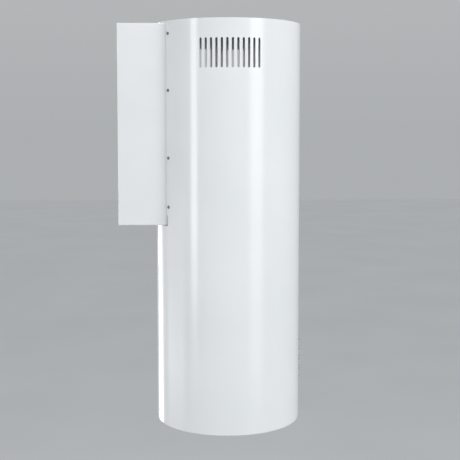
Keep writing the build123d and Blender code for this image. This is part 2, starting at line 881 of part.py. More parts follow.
with BuildPart() as filter_catch:
    with BuildSketch(level(panel_low)):
        with Locations((0, catch_front + clear + catch_length / 2)):
            Rectangle(catch_width - 2 * clear, catch_length - clear)
    extrude(amount=filter_depth - 2 * mesh_sheet - clear)
    with BuildSketch(flank(0)):
        with Locations((catch_front + grip_share * catch_length, panel_low - grip_rise)):
            Circle(grip_radius)
    extrude(amount=grip_half_width, both=True, mode=Mode.SUBTRACT)
    with BuildSketch(front(catch_front + grip_rise)):
        with Locations((0, bolt_middle)):
            Rectangle(bolt_width, bolt_height)
    extrude(amount=bolt_length)
keep(filter_catch, "filter_catch")

with BuildPart() as lamp_bezels:
    for side in (-1, 1):
        with BuildSketch(level(panel_low)):
            with Locations((side * lamp_x, 0)):
                Circle(lamp_radius + bezel_reach)
                Circle(lamp_radius - bezel_lip, mode=Mode.SUBTRACT)
        extrude(amount=-lamp_wall)
        with BuildSketch(level(panel_low)):
            with Locations((side * lamp_x, 0)):
                Circle(lamp_radius)
                Circle(lamp_radius - lamp_wall, mode=Mode.SUBTRACT)
        extrude(amount=lamp_sleeve)
keep(lamp_bezels, "lamp_bezels")

with BuildPart() as lamp_lenses:
    with BuildSketch(level(panel_low)):
        with Locations((-lamp_x, 0), (lamp_x, 0)):
            Circle(lamp_radius - lamp_wall - running)
    extrude(amount=lens_sheet)
keep(lamp_lenses, "lamp_lenses")

with BuildPart() as lamp_housings:
    with BuildSketch(level(panel_low + lamp_sleeve)):
        with Locations((-lamp_x, 0), (lamp_x, 0)):
            Circle(lamp_radius)
    extrude(amount=lamp_can)
    fillet(lamp_housings.faces().sort_by(Axis.Z)[-2:].edges(), lamp_can_round)
    with BuildSketch(level(panel_low + lamp_sleeve)):
        with Locations((-lamp_x, 0), (lamp_x, 0)):
            Circle(lamp_radius - lamp_wall)
    extrude(amount=lamp_can - 2 * lamp_wall, mode=Mode.SUBTRACT)
keep(lamp_housings, "lamp_housings")

with BuildPart() as led_modules:
    with BuildSketch(level(panel_low + module_rise)):
        with Locations((-lamp_x, 0), (lamp_x, 0)):
            Circle(lamp_radius - lamp_wall - running)
    extrude(amount=module_sheet)
    with BuildSketch(level(panel_low + module_rise)):
        with Locations((-lamp_x, 0), (lamp_x, 0)):
            Rectangle(chip_size, chip_size)
    extrude(amount=-chip_height)
keep(led_modules, "led_modules")

# ---- buttons and their board ----

guide_face = -inside + clear
guide_back = -inside + guide_depth
guide_low = button_heights[0] - guide_reach
guide_high = button_heights[-1] + guide_reach
recess_floor = guide_face + guide_recess
stem_end = guide_back + 1
board_face = guide_back + board_gap
switch_top = stem_end + button_travel + clear
post_x = guide_half_width - post_inset
posts = [(x, h) for x in (-post_x, post_x) for h in (guide_low + post_inset, guide_high - post_inset)]
with BuildPart() as button_guide:
    with BuildSketch(level(guide_low)):
        with Locations((0, guide_back - guide_depth)):
            Rectangle(2 * guide_half_width, 2 * guide_depth)
        Circle(-guide_face, mode=Mode.INTERSECT)
    extrude(amount=guide_high - guide_low)
    for h, r in zip(button_heights, button_radii):
        with BuildSketch(front(guide_back)):
            with Locations((0, h)):
                Circle(r + running)
        extrude(amount=2 * guide_depth, mode=Mode.SUBTRACT)
        with BuildSketch(front(guide_back)):
            with Locations((0, h)):
                Circle(r + guide_recess_radius)
        extrude(amount=guide_back - recess_floor, mode=Mode.SUBTRACT)
    with BuildSketch(front(guide_back)):
        with Locations(*posts):
            Circle(post_radius)
    extrude(amount=-board_gap)
    with BuildSketch(front(board_face)):
        with Locations(*posts):
            Circle(post_bore)
    extrude(amount=board_gap, mode=Mode.SUBTRACT)
keep(button_guide, "button_guide")

for i, (h, r) in enumerate(zip(button_heights, button_radii)):
    with BuildPart() as button:
        with BuildSketch(front(recess_floor + clear)):
            with Locations((0, h)):
                Circle(r)
        extrude(amount=radius + button_proud + recess_floor + clear)
        fillet(button.faces().sort_by(Axis.Y)[0].edges(), button_round)
        with BuildSketch(front(recess_floor + clear)):
            with Locations((0, h)):
                Circle(r + button_collar)
        extrude(amount=-button_collar_sheet)
        with BuildSketch(front(stem_end)):
            with Locations((0, h)):
                Circle(stem_radius)
        extrude(amount=stem_end - recess_floor - clear)
    keep(button, f"button_{i + 1}")

with BuildPart() as control_board:
    with BuildSketch(front(board_face)):
        with Locations((0, button_centre)):
            RectangleRounded(2 * guide_half_width - board_round, guide_high - guide_low, board_round)
        with Locations(*posts):
            Circle(board_hole, mode=Mode.SUBTRACT)
    extrude(amount=-board_sheet)
keep(control_board, "control_board")

with BuildPart() as board_switches:
    with BuildSketch(front(board_face)):
        with Locations(*[(0, h) for h in button_heights]):
            Rectangle(switch_size, switch_size)
    extrude(amount=board_face - switch_top - switch_button_height)
    with BuildSketch(front(board_face)):
        with Locations(*[(0, h) for h in button_heights]):
            Circle(switch_button_radius)
    extrude(amount=board_face - switch_top)
keep(board_switches, "board_switches")

with BuildPart() as board_screws:
    with BuildSketch(front(board_face + board_sheet)):
        with Locations(*posts):
            Circle(board_head_radius)
    extrude(amount=-board_head_height)
    with BuildSketch(front(board_face + board_sheet)):
        with Locations(*posts):
            Circle(post_bore)
    extrude(amount=board_sheet + board_screw_depth)
keep(board_screws, "board_screws")
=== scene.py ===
import json
import math

import bpy
from mathutils import Matrix, Vector


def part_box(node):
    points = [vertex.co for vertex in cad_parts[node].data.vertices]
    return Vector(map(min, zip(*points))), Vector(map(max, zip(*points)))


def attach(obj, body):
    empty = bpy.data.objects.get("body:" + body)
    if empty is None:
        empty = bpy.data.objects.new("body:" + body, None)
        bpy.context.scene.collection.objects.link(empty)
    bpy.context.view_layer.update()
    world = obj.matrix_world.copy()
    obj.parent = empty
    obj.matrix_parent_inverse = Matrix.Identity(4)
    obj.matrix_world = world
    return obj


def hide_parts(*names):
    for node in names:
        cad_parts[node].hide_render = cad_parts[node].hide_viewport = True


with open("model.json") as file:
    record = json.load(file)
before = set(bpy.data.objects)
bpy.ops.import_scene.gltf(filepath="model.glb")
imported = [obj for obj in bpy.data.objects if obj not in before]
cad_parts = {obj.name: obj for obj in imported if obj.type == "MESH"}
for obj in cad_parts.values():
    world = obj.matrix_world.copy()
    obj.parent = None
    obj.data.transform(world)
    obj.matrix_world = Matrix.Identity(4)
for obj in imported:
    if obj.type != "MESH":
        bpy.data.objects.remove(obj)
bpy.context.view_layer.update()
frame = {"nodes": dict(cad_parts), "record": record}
print("frame loaded")

# places read from the frame, in metres
jacketLow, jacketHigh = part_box("jacket")
drumRadius = (jacketHigh[0] - jacketLow[0]) / 2
drumY = jacketLow[1] + drumRadius
drumLow = jacketLow[2]
drumTop = jacketHigh[2]
boxLow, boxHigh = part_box("box_casing")
boxHalfWidth = 0.099       # of the walls; the frame's box takes in the wider flanges
tiny = 1e-5                # a place this near counts as the same
wallLine = 0.01            # just past the wall, where cutters end
squareOn = 0.9             # a normal with this much of an axis faces along it,
crossOn = 0.1              # and one with no more than this lies across it


def toLinear(hexText):
    values = [int(hexText[i:i + 2], 16) / 255 for i in (1, 3, 5)]
    return tuple(v / 12.92 if v <= 0.04045 else ((v + 0.055) / 1.055) ** 2.4 for v in values) + (1.0,)


# the kinds of node used most
noise = "ShaderNodeTexNoise"
ramp = "ShaderNodeValToRGB"
mapRange = "ShaderNodeMapRange"
bumpMap = "ShaderNodeBump"


def addNode(tree, kind, inputs=None, **settings):
    made = tree.nodes.new(kind)
    for name, value in settings.items():
        setattr(made, name, value)
    for name, value in (inputs or {}).items():
        if isinstance(value, bpy.types.NodeSocket):
            tree.links.new(value, made.inputs[name])
        else:
            made.inputs[name].default_value = value
    return made


def setRamp(node, stops):
    elements = node.color_ramp.elements
    while len(elements) < len(stops):
        elements.new(0.5)
    for element, (place, colour) in zip(elements, stops):
        element.position = place
        element.color = colour
    return node.outputs["Color"]


def startMaterial(name):
    made = bpy.data.materials.new(name)
    made.use_nodes = True
    tree = made.node_tree
    place = addNode(tree, "ShaderNodeTexCoord").outputs["Object"]
    return made, tree, tree.nodes["Principled BSDF"], place


def grey(value):
    return (value, value, value, 1.0)


def perMm(size):
    return 1000.0 / size      # pattern scale for a feature of that many millimetres


def deselectAll():
    if bpy.context.object and bpy.context.object.mode != "OBJECT":
        bpy.ops.object.mode_set(mode="OBJECT")
    bpy.ops.object.select_all(action="DESELECT")


def makeActive(piece):
    deselectAll()
    piece.select_set(True)
    bpy.context.view_layer.objects.active = piece


def pick(piece, kind, test):
    # leaves the piece in edit mode with the verts, edges or faces that pass the test selected
    makeActive(piece)
    bpy.ops.object.mode_set(mode="EDIT")
    bpy.ops.mesh.select_mode(type=kind)
    bpy.ops.mesh.select_all(action="DESELECT")
    bpy.ops.object.mode_set(mode="OBJECT")
    mesh = piece.data
    place = piece.matrix_world
    if kind == "FACE":
        for face in mesh.polygons:
            face.select = bool(test(place @ face.center, place.to_3x3() @ face.normal))
    elif kind == "EDGE":
        for edge in mesh.edges:
            a, b = (place @ mesh.vertices[i].co for i in edge.vertices)
            edge.select = bool(test(a, b))
    else:
        for vert in mesh.vertices:
            vert.select = bool(test(place @ vert.co))
    bpy.ops.object.mode_set(mode="EDIT")


def addCylinder(radius, depth, spot, sides, **more):
    deselectAll()
    bpy.ops.mesh.primitive_cylinder_add(radius=radius, depth=depth, location=spot, vertices=sides, **more)
    return bpy.context.object


def addBlock(low, high):
    low, high = Vector(low), Vector(high)
    deselectAll()
    bpy.ops.mesh.primitive_cube_add(size=1, location=(low + high) / 2, scale=high - low)
    return bpy.context.object


def pushOut(along, widen=1):
    # extrudes the selected faces along Z, then widens or narrows them round the Z axis
    bpy.ops.mesh.extrude_region_move(TRANSFORM_OT_translate={"value": (0, 0, along)})
    if widen != 1:
        bpy.ops.transform.resize(value=(widen, widen, 1), center_override=(0, 0, 0))


def addModifier(piece, kind, **settings):
    makeActive(piece)
    made = piece.modifiers.new(kind, kind)
    for name, value in settings.items():
        setattr(made, name, value)
    bpy.ops.object.modifier_apply(modifier=made.name)


def cutAway(piece, cutter):
    addModifier(piece, "BOOLEAN", operation="DIFFERENCE", solver="EXACT", object=cutter)
    bpy.data.objects.remove(cutter)


def joinAll(pieces):
    makeActive(pieces[0])
    for piece in pieces:
        piece.select_set(True)
    bpy.ops.object.join()
    return bpy.context.object


def settle(piece):
    makeActive(piece)
    bpy.ops.object.transform_apply(location=True, rotation=True, scale=True)


def finishPiece(piece, name, body, nodes, slot, smooth=30):
    # smooth is the sharpest angle that is shaded smooth, in degrees
    settle(piece)
    if smooth:
        bpy.ops.object.shade_smooth_by_angle(angle=math.radians(smooth))
    piece.name = name
    piece.data.name = name
    piece.data.materials.clear()
    piece.data.materials.append(materials[slot])
    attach(piece, body)
    if nodes:
        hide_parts(*nodes)
    print("made", name, len(piece.data.polygons), "faces")


def copyOf(piece):
    made = piece.copy()
    made.data = piece.data.copy()
    bpy.context.collection.objects.link(made)
    return made


# Powder coat baked on steel sheet: gloss white, with the faint ripple of orange peel.
def powderCoatedSteel():
    made, tree, shader, place = startMaterial("powder_coated_steel_gloss_white")
    cloud = addNode(tree, noise, {"Vector": place, "Scale": perMm(180), "Detail": 2.0})
    tone = addNode(tree, ramp, {"Fac": cloud.outputs["Fac"]})
    stops = [(0.3, toLinear("#E3E6E8")), (0.7, toLinear("#E8EAEB"))]
    tree.links.new(setRamp(tone, stops), shader.inputs["Base Color"])
    haze = addNode(tree, noise, {"Vector": place, "Scale": perMm(60), "Detail": 3.0})
    gloss = addNode(tree, mapRange, {"Value": haze.outputs["Fac"], "To Min": 0.10, "To Max": 0.17})
    tree.links.new(gloss.outputs["Result"], shader.inputs["Roughness"])
    # real peel is 1 to 3 mm across and a few microns deep
    peel = addNode(tree, noise, {"Vector": place, "Scale": perMm(3.0), "Detail": 1.0})
    bump = addNode(tree, bumpMap, {"Height": peel.outputs["Fac"], "Strength": 0.35, "Distance": 0.00003})
    tree.links.new(bump.outputs["Normal"], shader.inputs["Normal"])
    shader.inputs["IOR"].default_value = 1.52
    return made


# Hot-dip galvanised sheet: zinc crystals in flat patches of slightly different grey and gloss.
def galvanisedSteel():
    made, tree, shader, place = startMaterial("galvanised_steel_sheet")
    spangle = addNode(tree, "ShaderNodeTexVoronoi", {"Vector": place, "Scale": perMm(9)})
    tone = addNode(tree, ramp, {"Fac": spangle.outputs["Color"]})
    stops = [(0.1, toLinear("#9A9EA1")), (0.9, toLinear("#BCC0C2"))]
    tree.links.new(setRamp(tone, stops), shader.inputs["Base Color"])
    gloss = addNode(tree, mapRange, {"Value": spangle.outputs["Color"], "To Min": 0.3, "To Max": 0.5})
    tree.links.new(gloss.outputs["Result"], shader.inputs["Roughness"])
    shader.inputs["Metallic"].default_value = 1.0
    return made


# Screw with its black finish worn through: mid grey steel, patchy in tone and gloss.
def darkScrewSteel():
    made, tree, shader, place = startMaterial("blackened_steel_screw")
    rub = addNode(tree, noise, {"Vector": place, "Scale": perMm(0.8), "Detail": 3.0})
    tone = addNode(tree, ramp, {"Fac": rub.outputs["Fac"]})
    stops = [(0.35, toLinear("#65686B")), (0.7, toLinear("#9A9EA1"))]
    tree.links.new(setRamp(tone, stops), shader.inputs["Base Color"])
    gloss = addNode(tree, mapRange, {"Value": rub.outputs["Fac"], "To Min": 0.28, "To Max": 0.45})
    tree.links.new(gloss.outputs["Result"], shader.inputs["Roughness"])
    shader.inputs["Metallic"].default_value = 1.0
    return made


# Injection-moulded plastic or rubber: even colour, and the fine grain that the mould leaves. The
# grain is given in millimetres across and its depth in metres.
def mouldedPlastic(name, dark, light, rough, grain=0.6, depth=0.00004):
    made, tree, shader, place = startMaterial(name)
    flow = addNode(tree, noise, {"Vector": place, "Scale": perMm(35), "Detail": 2.0})
    tone = addNode(tree, ramp, {"Fac": flow.outputs["Fac"]})
    stops = [(0.3, toLinear(dark)), (0.7, toLinear(light))]
    tree.links.new(setRamp(tone, stops), shader.inputs["Base Color"])
    pits = addNode(tree, noise, {"Vector": place, "Scale": perMm(grain), "Detail": 2.0})
    bump = addNode(tree, bumpMap, {"Height": pits.outputs["Fac"], "Strength": 0.4, "Distance": depth})
    tree.links.new(bump.outputs["Normal"], shader.inputs["Normal"])
    drift = 0.04      # how far the gloss wanders either side
    gloss = addNode(tree, mapRange, {
        "Value": flow.outputs["Fac"], "To Min": rough - drift, "To Max": rough + drift})
    tree.links.new(gloss.outputs["Result"], shader.inputs["Roughness"])
    shader.inputs["IOR"].default_value = 1.54
    return made


# Rolled aluminium with a brushed finish: fine lines along X, drawn wider than the real 0.1 mm
# so that they show.
def brushedAluminium():
    made, tree, shader, place = startMaterial("brushed_aluminium")
    turned = addNode(tree, "ShaderNodeMapping", {"Vector": place, "Scale": (0.03, 1.0, 1.0)})
    along = turned.outputs["Vector"]
    lines = addNode(tree, noise, {"Vector": along, "Scale": perMm(0.5), "Detail": 4.0})
    tone = addNode(tree, ramp, {"Fac": lines.outputs["Fac"]})
    stops = [(0.3, toLinear("#B3B6B8")), (0.7, toLinear("#D3D5D6"))]
    tree.links.new(setRamp(tone, stops), shader.inputs["Base Color"])
    gloss = addNode(tree, mapRange, {"Value": lines.outputs["Fac"], "To Min": 0.25, "To Max": 0.42})
    tree.links.new(gloss.outputs["Result"], shader.inputs["Roughness"])
    bump = addNode(tree, bumpMap, {"Height": lines.outputs["Fac"], "Strength": 0.3, "Distance": 0.00003})
    tree.links.new(bump.outputs["Normal"], shader.inputs["Normal"])
    shader.inputs["Metallic"].default_value = 1.0
    return made


# Satin chrome plate on a plastic or steel cap: bright, with a soft haze from handling.
def satinChrome():
    made, tree, shader, place = startMaterial("satin_chrome_plate")
    touch = addNode(tree, noise, {"Vector": place, "Scale": perMm(5), "Detail": 3.0})
    tone = addNode(tree, ramp, {"Fac": touch.outputs["Fac"]})
    stops = [(0.3, toLinear("#C9CCCE")), (0.7, toLinear("#DEE0E1"))]
    tree.links.new(setRamp(tone, stops), shader.inputs["Base Color"])
    gloss = addNode(tree, mapRange, {"Value": touch.outputs["Fac"], "To Min": 0.12, "To Max": 0.24})
    tree.links.new(gloss.outputs["Result"], shader.inputs["Roughness"])
    shader.inputs["Metallic"].default_value = 1.0
    return made


# Opal polycarbonate lens: milky, lightly frosted inside.
def opalPolycarbonate():
    made, tree, shader, place = startMaterial("opal_polycarbonate_lens")
    frost = addNode(tree, noise, {"Vector": place, "Scale": perMm(0.7), "Detail": 2.0})
    tone = addNode(tree, ramp, {"Fac": frost.outputs["Fac"]})
    stops = [(0.3, toLinear("#E9ECEC")), (0.7, toLinear("#F5F6F5"))]
    tree.links.new(setRamp(tone, stops), shader.inputs["Base Color"])
    gloss = addNode(tree, mapRange, {"Value": frost.outputs["Fac"], "To Min": 0.28, "To Max": 0.42})
    tree.links.new(gloss.outputs["Result"], shader.inputs["Roughness"])
    shader.inputs["Transmission Weight"].default_value = 0.45
    shader.inputs["IOR"].default_value = 1.58
    return made


# Drawn steel motor can: cool grey, lightly mottled in tone and gloss.
def drawnSteel():
    made, tree, shader, place = startMaterial("drawn_steel_motor_can")
    marks = addNode(tree, noise, {"Vector": place, "Scale": perMm(1.5), "Detail": 5.0})
    tone = addNode(tree, ramp, {"Fac": marks.outputs["Fac"]})
    stops = [(0.3, toLinear("#7F8386")), (0.7, toLinear("#A3A7A9"))]
    tree.links.new(setRamp(tone, stops), shader.inputs["Base Color"])
    gloss = addNode(tree, mapRange, {"Value": marks.outputs["Fac"], "To Min": 0.25, "To Max": 0.4})
    tree.links.new(gloss.outputs["Result"], shader.inputs["Roughness"])
    shader.inputs["Metallic"].default_value = 1.0
    return made


# Enamelled copper wire laid in turns: fine ridges across X, with painted shade darkening the grooves
# between the turns.
def copperWinding():
    made, tree, shader, place = startMaterial("enamelled_copper_winding")
    wave = perMm(0.8) / (2 * math.pi)
    turns = addNode(tree, "ShaderNodeTexWave", {"Vector": place, "Scale": wave, "Distortion": 1.0})
    # the wave that raises the ridges also colours them, so the grooves between turns are painted darker:
    # painted shade
    tone = addNode(tree, ramp, {"Fac": turns.outputs["Color"]})
    stops = [(0.0, toLinear("#6E3317")), (0.8, toLinear("#C07A46"))]
    tree.links.new(setRamp(tone, stops), shader.inputs["Base Color"])
    ridge = turns.outputs["Color"]
    bump = addNode(tree, bumpMap, {"Height": ridge, "Strength": 0.6, "Distance": 0.0003})
    tree.links.new(bump.outputs["Normal"], shader.inputs["Normal"])
    shader.inputs["Metallic"].default_value = 0.9
    shader.inputs["Roughness"].default_value = 0.3
    return made


# Glass-epoxy board under green solder mask, with paler runs of track.
def solderMask():
    made, tree, shader, place = startMaterial("glass_epoxy_board_green")
    tracks = addNode(tree, "ShaderNodeTexBrick", {
        "Vector": place, "Scale": perMm(9), "Color1": toLinear("#174B2E"), "Color2": toLinear("#1B5434"),
        "Mortar": toLinear("#2F7A4C"), "Mortar Size": 0.05})
    tree.links.new(tracks.outputs["Color"], shader.inputs["Base Color"])
    shader.inputs["Roughness"].default_value = 0.3
    return made


materials = {
    "white_enamel": powderCoatedSteel(),
    "zinc_steel": galvanisedSteel(),
    "dark_screw": darkScrewSteel(),
    "grey_abs": mouldedPlastic("moulded_abs_grey", "#6E7275", "#767A7D", 0.48),
    "white_abs": mouldedPlastic("moulded_abs_white", "#DFE1E1", "#E7E8E8", 0.3, 0.8, 0.00002),
    "black_plastic": mouldedPlastic("glass_filled_nylon_black", "#17181A", "#1F2022", 0.5),
    "rubber": mouldedPlastic("moulded_rubber_black", "#131313", "#1C1C1B", 0.75, 1.2),
    "aluminium": brushedAluminium(),
    "chrome_button": satinChrome(),
    "frosted_glass": opalPolycarbonate(),
    "motor_steel": drawnSteel(),
    "copper_winding": copperWinding(),
    "circuit_board": solderMask(),
}

for part in frame["record"]["subparts"]:
    for materialSlot in frame["nodes"][part["node"]].material_slots:
        materialSlot.material = materials[part["material_slot"]]
print("materials done")


jacket = {
    "segments": 288, "sheet": 0.001, "hem": 0.0055, "hemRound": 0.0018,
    "slotCount": 12, "slotPitch": 0.01316, "slotWidth": 0.0058, "slotLength": 0.0715,
    "slotDrop": 0.0465, "slotSides": 24,
    "slotReach": 2.1 * drumRadius,      # one cutter makes the slots on both sides
    "seam": 0.0004, "relief": 0.0018, "notch": 0.0045, "notchRise": 0.026,
    "holeDeep": 0.02, "holeSides": 48,
}
buttons = {
    "count": 5, "pitch": 0.0256, "centre": 0.150, "radius": 0.006, "mainRadius": 0.0075,
    "gap": 0.0004, "dish": 0.0005, "dishTaper": 0.8, "rimShare": 0.28, "round": 0.0009,
    "collar": 0.0015, "collarAt": 0.0126, "collarDeep": 0.002, "stemRadius": 0.003, "sides": 64,
}


def buttonPlaces():
    middle = buttons["count"] // 2
    for i in range(buttons["count"]):
        radius = buttons["mainRadius"] if i == middle else buttons["radius"]
        yield i, drumLow + buttons["centre"] + (i - middle) * buttons["pitch"], radius


def slotCutter():
    j = jacket
    middle = drumTop - j["slotDrop"] - j["slotLength"] / 2
    stretch = (j["slotLength"] - j["slotWidth"]) / 2
    across = Matrix.Rotation(math.radians(90), 4, "Y")
    cutters = []
    for i in range(j["slotCount"]):
        cutter = addCylinder(j["slotWidth"] / 2, j["slotReach"], (0, 0, 0), j["slotSides"])
        # the upper and the lower half of the round bar move apart to make the round-ended slot
        for side in (-1, 1):
            pick(cutter, "VERT", lambda p: p.x * side > tiny)
            bpy.ops.transform.translate(value=(side * stretch, 0, 0))
            bpy.ops.object.mode_set(mode="OBJECT")
        turn = (i - (j["slotCount"] - 1) / 2) * j["slotPitch"] / drumRadius
        place = Matrix.Translation((0, drumY, middle)) @ Matrix.Rotation(turn, 4, "Z")
        cutter.matrix_world = place @ across
        settle(cutter)
        cutters.append(cutter)
    return joinAll(cutters)


def wallNormals(piece):
    # the rolled sheet is truly round, so its facets take the round wall's own directions
    mesh = piece.data
    normals = [tuple(corner.vector) for corner in mesh.corner_normals]
    # the inner wall's facets lie this near the axis at most
    nearInner = drumRadius - jacket["sheet"] + 0.3 * jacket["sheet"]
    wallStart = drumLow + 2 * jacket["hemRound"]
    for face in mesh.polygons:
        away = Vector((face.center.x, face.center.y - drumY, 0))
        facing = face.normal.dot(away.normalized())
        if face.center.z < wallStart or abs(face.normal.z) > crossOn or abs(facing) < squareOn:
            continue      # the hem, and the cut edges of the slots and the window
        sign = 1 if facing > 0 else -1
        if sign == 1 or away.length < nearInner:
            for loop in face.loop_indices:
                point = mesh.vertices[mesh.loops[loop].vertex_index].co
                normals[loop] = tuple(Vector((point.x, point.y - drumY, 0)).normalized() * sign)
    mesh.normals_split_custom_set(normals)


def makeJacket():
    j = jacket
    tall = drumTop - drumLow
    middle = (0, drumY, drumLow + tall / 2)
    piece = addCylinder(drumRadius, tall, middle, j["segments"], end_fill_type="NOTHING")

    def atFoot(p):
        return p.z < drumLow + tiny

    def atOuterFoot(p):
        return atFoot(p) and math.hypot(p.x, p.y - drumY) > drumRadius - tiny

    # hem: the lower edge turns inwards
    pick(piece, "EDGE", lambda a, b: atFoot(a) and atFoot(b))
    bpy.ops.mesh.extrude_edges_move()
    inwards = 1 - j["hem"] / drumRadius
    bpy.ops.transform.resize(value=(inwards, inwards, 1), center_override=(0, drumY, drumLow))
    pick(piece, "EDGE", lambda a, b: atOuterFoot(a) and atOuterFoot(b))
    bpy.ops.mesh.bevel(offset=j["hemRound"], segments=4, affect="EDGES")
    addModifier(piece, "SOLIDIFY", thickness=j["sheet"], offset=-1.0)
    cutAway(piece, slotCutter())
    # the rear window that the stand-off box passes through, with a notch at each lower corner
    near, low = drumY + drumRadius / 2, boxLow[2] - j["relief"]
    for past, high in ((j["seam"], boxHigh[2] + j["seam"]), (j["notch"], low + j["notchRise"])):
        wide = boxHalfWidth + past
        cutAway(piece, addBlock((-wide, near, low), (wide, wallLine, high)))
    # the holes that the buttons stand through
    facingFront = (math.radians(90), 0, 0)
    for _, z, radius in buttonPlaces():
        spot = (0, drumY - drumRadius, z)
        wide = radius + buttons["gap"]
        cutAway(piece, addCylinder(wide, j["holeDeep"], spot, j["holeSides"], rotation=facingFront))
    finishPiece(piece, "drum_jacket", "hood", ["jacket"], "white_enamel")
    wallNormals(piece)


makeJacket()


box = {
    "sheet": 0.0012, "bend": 0.0016, "lip": 0.018,
    "start": 0.14,              # the walls start this far behind the drum's axis, and are then trimmed
    "frontRadius": 0.1825, "cutterTall": 0.6,
    "flange": 0.016, "flangeLow": 0.026, "sides": 360,
}


def makeFlange(side):
    # the strip behind the jacket that the screws bite into: an arc of a tall ring
    low = boxLow[2] + box["flangeLow"]
    high = boxHigh[2] - box["sheet"]
    outer = box["frontRadius"] + box["sheet"]
    middle = (0, drumY, (low + high) / 2)
    piece = addCylinder(outer, high - low, middle, box["sides"], end_fill_type="NOTHING")
    settle(piece)
    near = boxHalfWidth - box["sheet"]
    for x, away in ((near, -1), (near + box["flange"], 1)):
        pick(piece, "FACE", lambda c, n: True)
        bpy.ops.mesh.bisect(plane_co=(side * x, 0, 0), plane_no=(side * away, 0, 0), clear_outer=True)
    pick(piece, "FACE", lambda c, n: c.y < drumY)
    bpy.ops.mesh.delete(type="FACE")
    bpy.ops.object.mode_set(mode="OBJECT")
    addModifier(piece, "SOLIDIFY", thickness=box["sheet"], offset=-1.0)
    return piece


def makeBoxCasing():
    front = drumY + box["start"]
    piece = addBlock((-boxHalfWidth, front, boxLow[2]), (boxHalfWidth, 0, boxHigh[2]))
    settle(piece)
    pick(piece, "FACE", lambda c, n: n.y < -squareOn)
    bpy.ops.mesh.delete(type="FACE")
    bpy.ops.object.mode_set(mode="OBJECT")
    # the bends at the wall and along the four corners, then the lips round the open back
    pick(piece, "EDGE", lambda a, b: max(a.y, b.y) > -tiny)
    bpy.ops.mesh.bevel(offset=box["bend"], segments=5, affect="EDGES")
    pick(piece, "FACE", lambda c, n: n.y > 0.999)      # the flat back alone, without the bends
    bpy.ops.mesh.inset(thickness=box["lip"] - box["bend"])
    bpy.ops.mesh.delete(type="FACE")
    bpy.ops.object.mode_set(mode="OBJECT")
    addModifier(piece, "SOLIDIFY", thickness=box["sheet"], offset=-1.0)
    cutAway(piece, addCylinder(box["frontRadius"], box["cutterTall"], (0, drumY, 0), box["sides"]))
    piece = joinAll([piece, makeFlange(-1), makeFlange(1)])
    finishPiece(piece, "stand_off_box", "hood", ["box_casing"], "white_enamel", 35)


makeBoxCasing()


boxScrews = {
    "drops": (0.026, 0.165, 0.332, 0.454), "pastSeam": 0.010, "lift": 0.00002,
    "headRadius": 0.0039, "headHeight": 0.0022, "round": 0.0012,
    "shankRadius": 0.00175, "shankLength": 0.0062,
    "recessWide": 0.0009, "recessLong": 0.0042, "recessDeep": 0.0013,
    "firstTurn": 35, "nextTurn": 50, "sides": 32,
}


def makeScrew():
    # a pan head that faces +Z on the plane z = 0, with a cross recess
    s = boxScrews
    head = addCylinder(s["headRadius"], s["headHeight"], (0, 0, s["headHeight"] / 2), s["sides"])
    settle(head)
    pick(head, "EDGE", lambda a, b: min(a.z, b.z) > s["headHeight"] - tiny)
    bpy.ops.mesh.bevel(offset=s["round"], segments=4, affect="EDGES")
    pick(head, "FACE", lambda c, n: n.z < -squareOn)
    bpy.ops.mesh.inset(thickness=s["headRadius"] - s["shankRadius"])
    pushOut(-s["shankLength"])
    bpy.ops.object.mode_set(mode="OBJECT")
    top = Vector((0, 0, s["headHeight"]))
    for long, wide in ((s["recessLong"], s["recessWide"]), (s["recessWide"], s["recessLong"])):
        half = Vector((long / 2, wide / 2, s["recessDeep"]))
        cutAway(head, addBlock(top - half, top + half))
    return head


def makeBoxScrews():
    s = boxScrews
    first = makeScrew()
    angle = math.asin(boxHalfWidth / drumRadius) + s["pastSeam"] / drumRadius
    made = []
    for side in (-1, 1):
        away = Vector((side * math.sin(angle), math.cos(angle), 0))
        facing = away.to_track_quat("Z", "Y").to_matrix().to_4x4()
        for i, drop in enumerate(s["drops"]):
            screw = copyOf(first)
            spot = Vector((0, drumY, boxHigh[2] - drop)) + away * (drumRadius + s["lift"])
            # each is driven home at its own angle
            spin = math.radians(s["firstTurn"] + s["nextTurn"] * i)
            screw.matrix_world = Matrix.Translation(spot) @ facing @ Matrix.Rotation(spin, 4, "Z")
            settle(screw)
            made.append(screw)
    bpy.data.objects.remove(first)
    finishPiece(joinAll(made), "box_pan_screws", "hood", ["box_screws"], "dark_screw")


makeBoxScrews()


def makeButton(i, z, radius):
    # built facing +Z with its face on z = 0, then turned to face the front
    b = buttons
    name = "button_%d" % (i + 1)
    low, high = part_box(name)
    deep = high[1] - low[1]
    piece = addCylinder(radius, b["collarAt"], (0, 0, -b["collarAt"] / 2), b["sides"])
    settle(piece)
    pick(piece, "FACE", lambda c, n: n.z > squareOn)
    bpy.ops.mesh.inset(thickness=b["rimShare"] * radius)
    pushOut(-b["dish"], b["dishTaper"])
    pick(piece, "EDGE", lambda p, q: min(p.z, q.z) > -tiny and min(p.length, q.length) > radius - tiny)
    bpy.ops.mesh.bevel(offset=b["round"], segments=5, affect="EDGES")
    # behind the cap: the collar that keeps it in its hole, and the stem that presses the switch
    pick(piece, "FACE", lambda c, n: n.z < -squareOn)
    collar = radius + b["collar"]
    pushOut(0, collar / radius)
    pushOut(-b["collarDeep"])
    pushOut(0, b["stemRadius"] / collar)
    pushOut(b["collarAt"] + b["collarDeep"] - deep)
    bpy.ops.object.mode_set(mode="OBJECT")
    piece.matrix_world = Matrix.Translation((0, low[1], z)) @ Matrix.Rotation(math.radians(90), 4, "X")
    finishPiece(piece, name + "_cap", name, [name], "chrome_button", 35)


for index, height, radius in buttonPlaces():
    makeButton(index, height, radius)


filterMesh = {
    "cellLong": 0.010, "cellShort": 0.006, "strand": 0.0011, "sheet": 0.0009,
    "gridCount": 64, "gridStep": 0.01, "inside": 0.0005,
}


